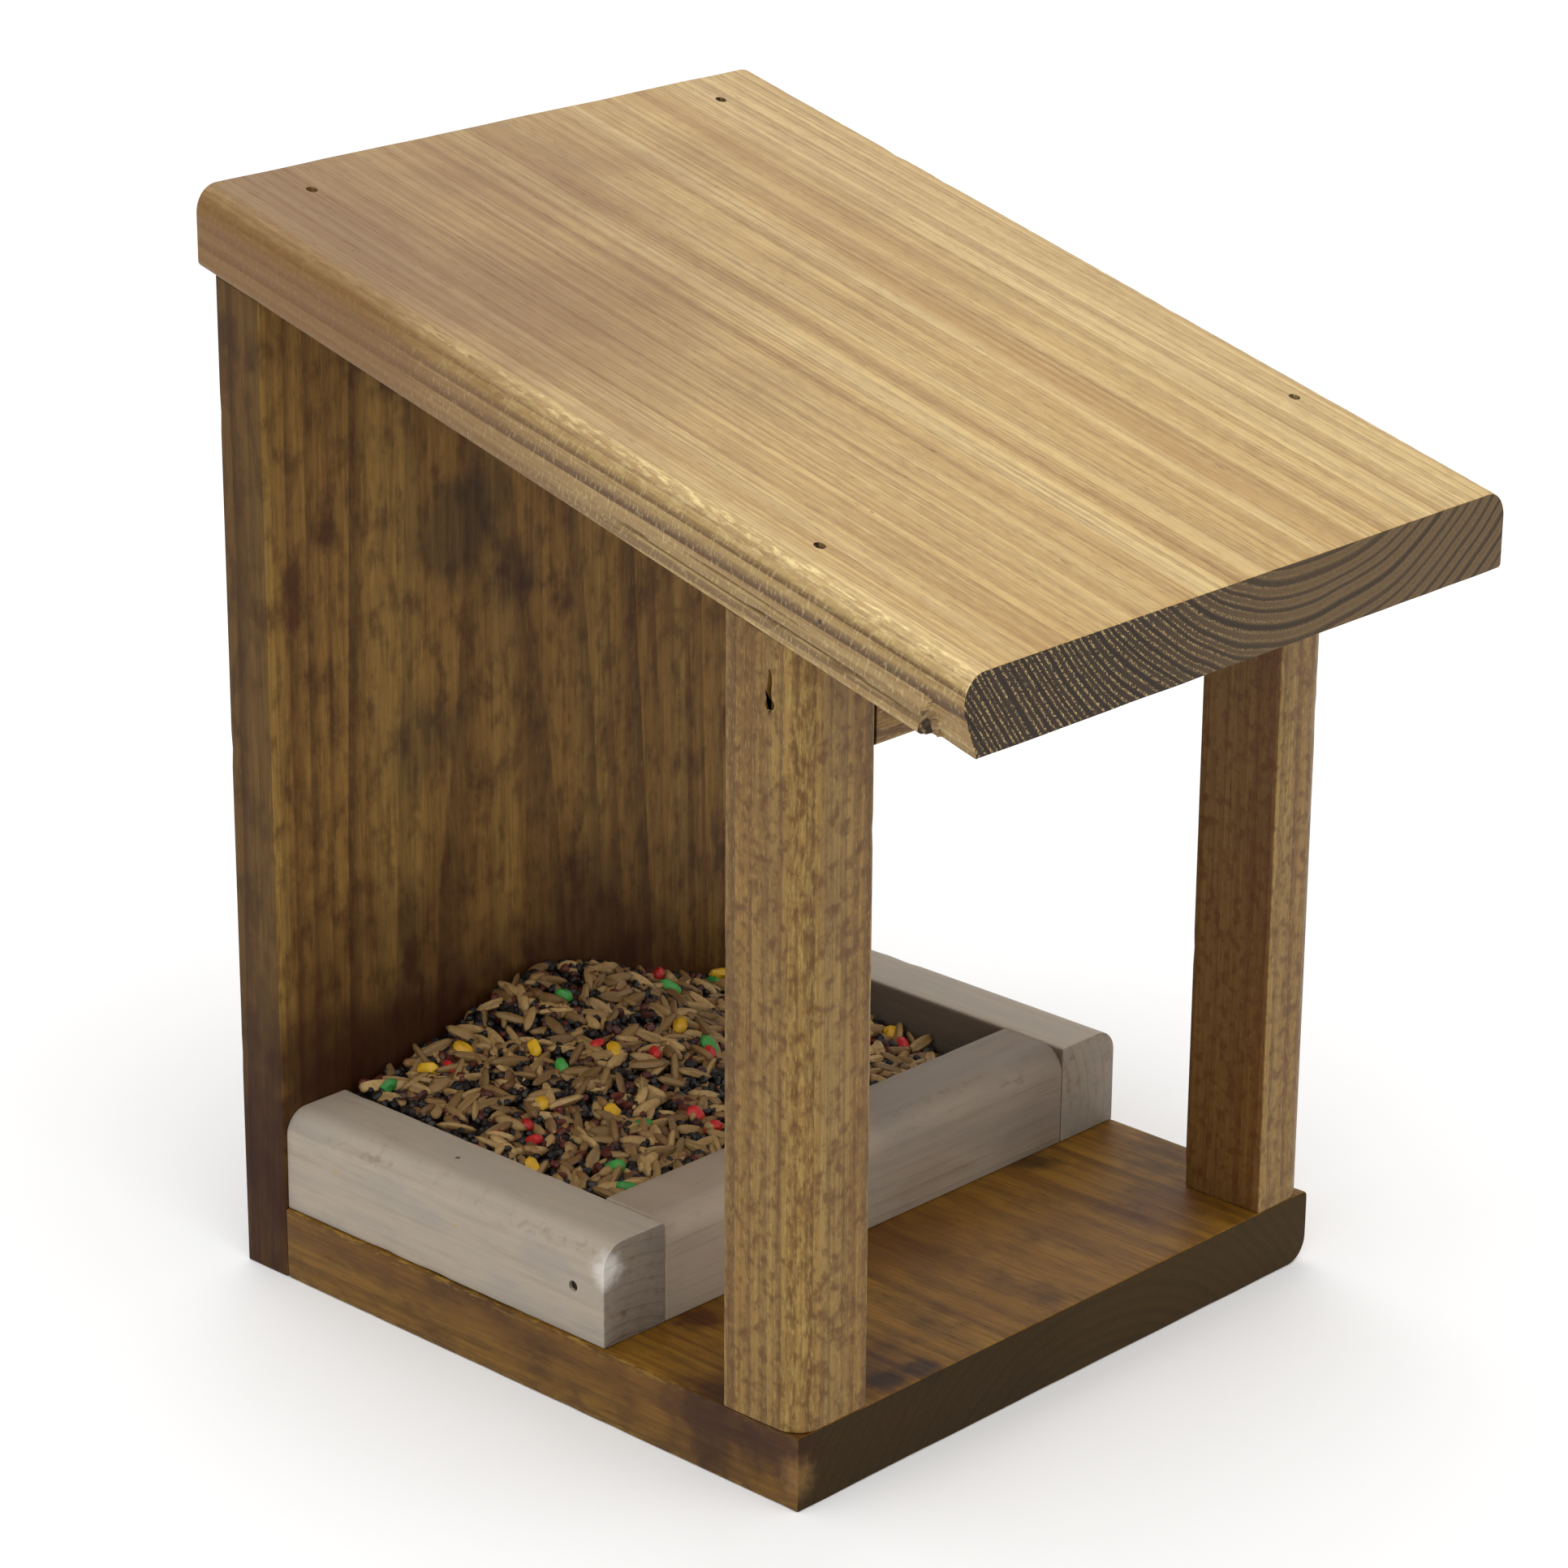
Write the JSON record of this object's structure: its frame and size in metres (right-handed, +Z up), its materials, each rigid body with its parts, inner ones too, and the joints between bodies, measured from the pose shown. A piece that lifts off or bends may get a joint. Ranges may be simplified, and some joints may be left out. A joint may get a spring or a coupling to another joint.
{
  "type": "bird feeder",
  "caption": "Small lean-to wooden bird feeder with a sloping roof board, a full back board, front posts, and a whitewashed tray heaped with mixed seed.",
  "frame": {"origin": "centre of the floor board's underside", "axes": "+X to the right seen from the open front, +Y towards the back board, +Z up"},
  "size_m": [0.203, 0.259, 0.2951],
  "materials": {
    "roof_wood": "satin golden brown stain",
    "back_wood": "matt dark brown stain",
    "floor_wood": "satin dark brown stain",
    "post_wood": "satin mid brown stain",
    "whitewashed_wood": "matt thin white wash",
    "seed": "dry mixed seed",
    "brad_steel": "dull",
    "screw_steel": "zinc plated"
  },
  "bodies": {
    "root": {"roof_board": "roof_wood", "back_board": "back_wood", "floor_board": "floor_wood", "left_post": "post_wood", "right_post": "post_wood", "front_rail": "post_wood", "tray_left_rail": "whitewashed_wood", "tray_right_rail": "whitewashed_wood", "tray_front_rail": "whitewashed_wood", "seed_heap": "seed", "roof_brads": "brad_steel", "rail_brads": "brad_steel", "tray_brads": "brad_steel", "back_screws": "screw_steel", "post_screws": "screw_steel", "tray_screws": "screw_steel"}
  },
  "joints": []
}
